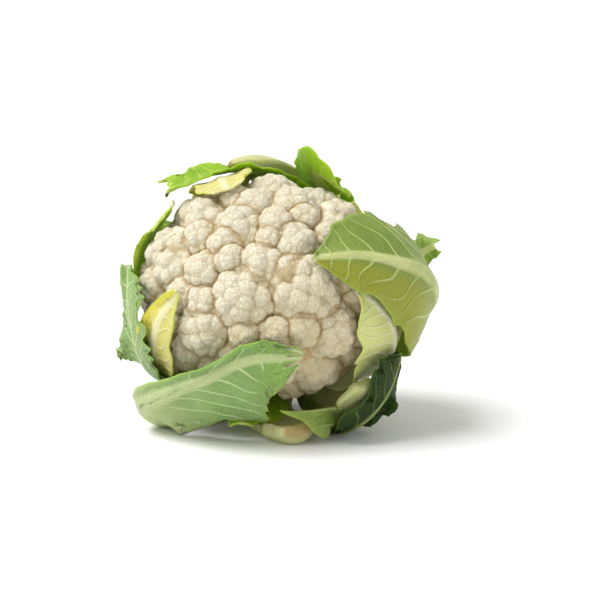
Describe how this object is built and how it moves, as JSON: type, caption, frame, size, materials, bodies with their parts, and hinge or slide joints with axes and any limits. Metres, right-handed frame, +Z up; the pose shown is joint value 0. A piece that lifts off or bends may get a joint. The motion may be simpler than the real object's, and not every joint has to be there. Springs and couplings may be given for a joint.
{
  "type": "cauliflower",
  "caption": "Fresh cauliflower head, a lumpy cream curd on a cut stalk wrapped in waved green leaves, lying tilted on its leaves.",
  "frame": {"origin": "middle of the bounding box in plan, at table height", "axes": "+Z up, -Y towards the front where the curd shows, +X to the viewer's right"},
  "size_m": [0.2097, 0.1694, 0.1759],
  "materials": {
    "curd": "matte, granular",
    "petiole": "satin",
    "inner_leaf": "satin",
    "green_leaf": "satin",
    "outer_leaf": "waxy satin"
  },
  "bodies": {
    "root": {"back_leaf": "outer_leaf", "bottom_leaf": "green_leaf", "curd": "curd", "cut_petiole": "petiole", "cut_top_petiole": "petiole", "front_leaf": "outer_leaf", "hidden_inner_leaf": "inner_leaf", "left_inner_leaf": "inner_leaf", "left_leaf": "outer_leaf", "lower_right_leaf": "green_leaf", "right_back_leaf": "green_leaf", "right_inner_leaf": "inner_leaf", "right_leaf": "green_leaf", "stalk": "petiole", "top_inner_leaf": "inner_leaf", "top_left_leaf": "green_leaf", "top_right_leaf": "green_leaf", "torn_leaf": "outer_leaf", "upper_left_leaf": "inner_leaf"}
  },
  "joints": []
}
